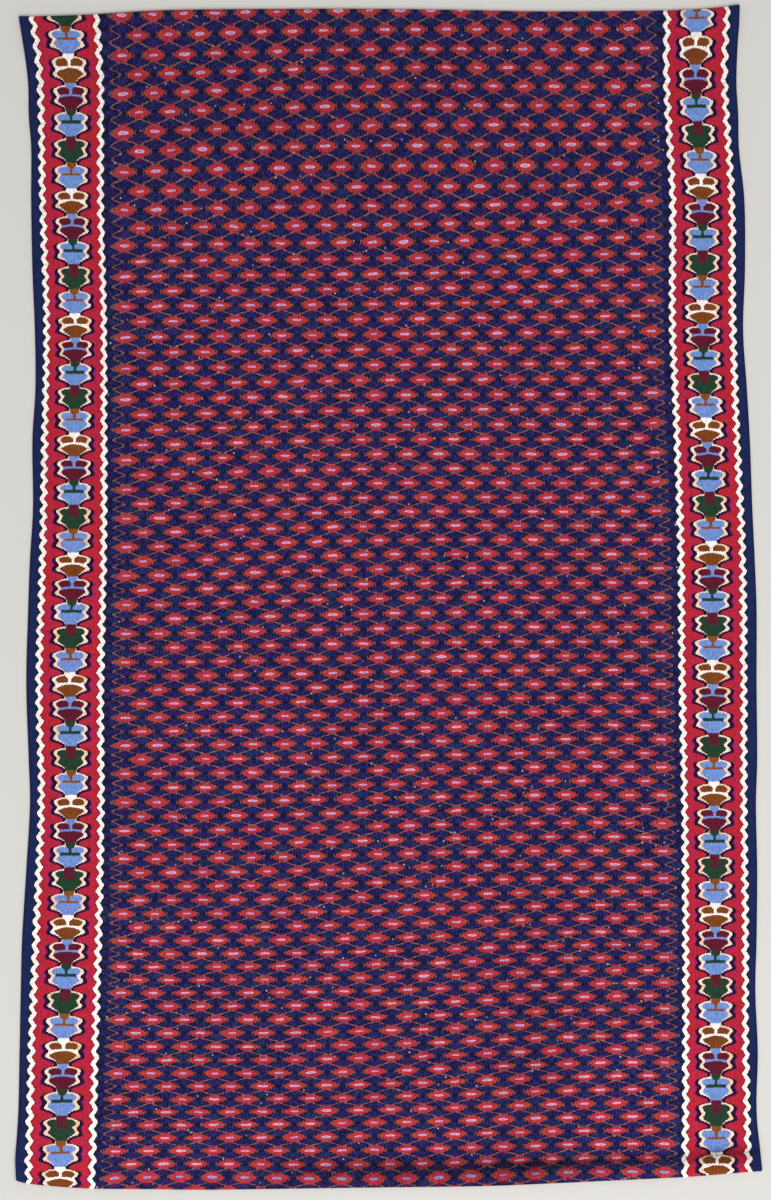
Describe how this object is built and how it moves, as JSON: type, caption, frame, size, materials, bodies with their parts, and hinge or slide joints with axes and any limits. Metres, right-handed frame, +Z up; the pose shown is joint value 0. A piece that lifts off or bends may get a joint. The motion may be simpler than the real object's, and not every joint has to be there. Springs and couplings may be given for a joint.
{
  "type": "flat-woven kilim",
  "caption": "Flat-woven wool kilim lying flat: flower lattice field, tulip side borders between cream zigzags, plain dark selvedges and ends turned under.",
  "frame": {"origin": "middle of the cloth's bounding box, on the floor plane under it", "axes": "+X across the cloth from selvedge to selvedge, +Y along it from the near end to the far end, +Z up from the floor"},
  "size_m": [1.2236, 1.9416, 0.009],
  "materials": {
    "woven_wool": "matt ribbed flat weave of wool yarn in navy, crimson, rust, cream, blue, green and brown"
  },
  "bodies": {
    "root": {"kilim": "woven_wool"}
  },
  "joints": []
}
